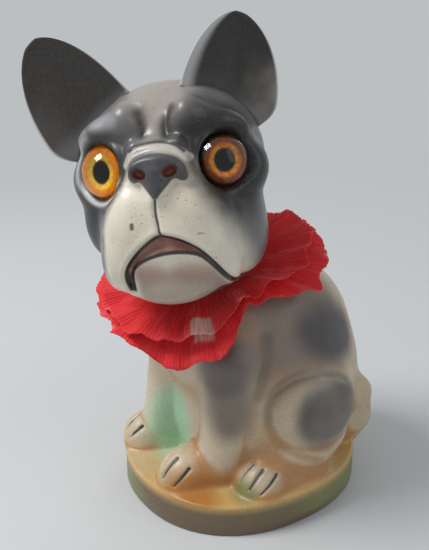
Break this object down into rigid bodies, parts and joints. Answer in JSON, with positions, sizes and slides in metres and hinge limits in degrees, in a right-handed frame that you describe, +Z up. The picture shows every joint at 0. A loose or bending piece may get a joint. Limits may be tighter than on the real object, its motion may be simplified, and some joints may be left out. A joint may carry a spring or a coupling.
{
  "type": "chalkware dog figure with nodding head",
  "caption": "Seated bulldog ornament in painted cast plaster, its glass eyed head on a spring neck that nods, sways and turns above a crepe paper ruff.",
  "frame": {"origin": "middle of the oval base on the plane it stands on", "axes": "+Z up, the dog's body faces -Y, +X to the dog's own left"},
  "size_m": [0.1014, 0.1281, 0.2],
  "materials": {
    "body_plaster": "cast plaster painted cream and tan with grey airbrushed patches, semi gloss varnish",
    "head_plaster": "cast plaster airbrushed charcoal with a cream muzzle, semi gloss varnish",
    "spring_steel": "drawn steel wire, dull",
    "plug_wood": "turned softwood, unfinished",
    "eye_glass": "clear polished glass",
    "amber_enamel": "amber enamel fused behind the glass",
    "black_enamel": "black enamel fused behind the glass",
    "putty": "dried linseed putty",
    "red_crepe": "crinkled crepe paper, matt, faded in places",
    "tie_thread": "twisted cotton thread"
  },
  "bodies": {
    "figure": {"body_casting": "body_plaster", "lower_neck_plug": "plug_wood", "lower_left_staple": "spring_steel", "lower_right_staple": "spring_steel", "ruff_upper": "red_crepe", "ruff_lower": "red_crepe", "ruff_tie": "tie_thread"},
    "spring": {"neck_spring": "spring_steel"},
    "neck_top": {"upper_neck_plug": "plug_wood", "upper_left_staple": "spring_steel", "upper_right_staple": "spring_steel"},
    "head": {"head_casting": "head_plaster", "left_eye_glass": "eye_glass", "right_eye_glass": "eye_glass", "left_eye_iris": "amber_enamel", "right_eye_iris": "amber_enamel", "left_eye_pupil": "black_enamel", "right_eye_pupil": "black_enamel", "left_eye_wire": "spring_steel", "right_eye_wire": "spring_steel", "left_eye_putty": "putty", "right_eye_putty": "putty"}
  },
  "joints": [
    {"name": "head_nod", "type": "hinge", "parent": "figure", "child": "spring", "pos_m": [-0.0054, -0.01751, 0.10462], "axis": [1, 0, 0], "range_deg": [-6, 7], "stiffness_Nm_per_rad": 0.35, "springref_deg": -8.31, "deforming": ["neck_spring"]},
    {"name": "head_sway", "type": "hinge", "parent": "spring", "child": "neck_top", "pos_m": [-0.0054, -0.01751, 0.10462], "axis": [0, -0.9483, -0.3173], "range_deg": [-5, 5], "stiffness_Nm_per_rad": 0.35, "springref_deg": 2.35},
    {"name": "head_turn", "type": "hinge", "parent": "neck_top", "child": "head", "pos_m": [-0.0054, -0.01751, 0.10462], "axis": [0, -0.3173, 0.9483], "range_deg": [-45, 25], "stiffness_Nm_per_rad": 0.06, "springref_deg": 4.58}
  ]
}
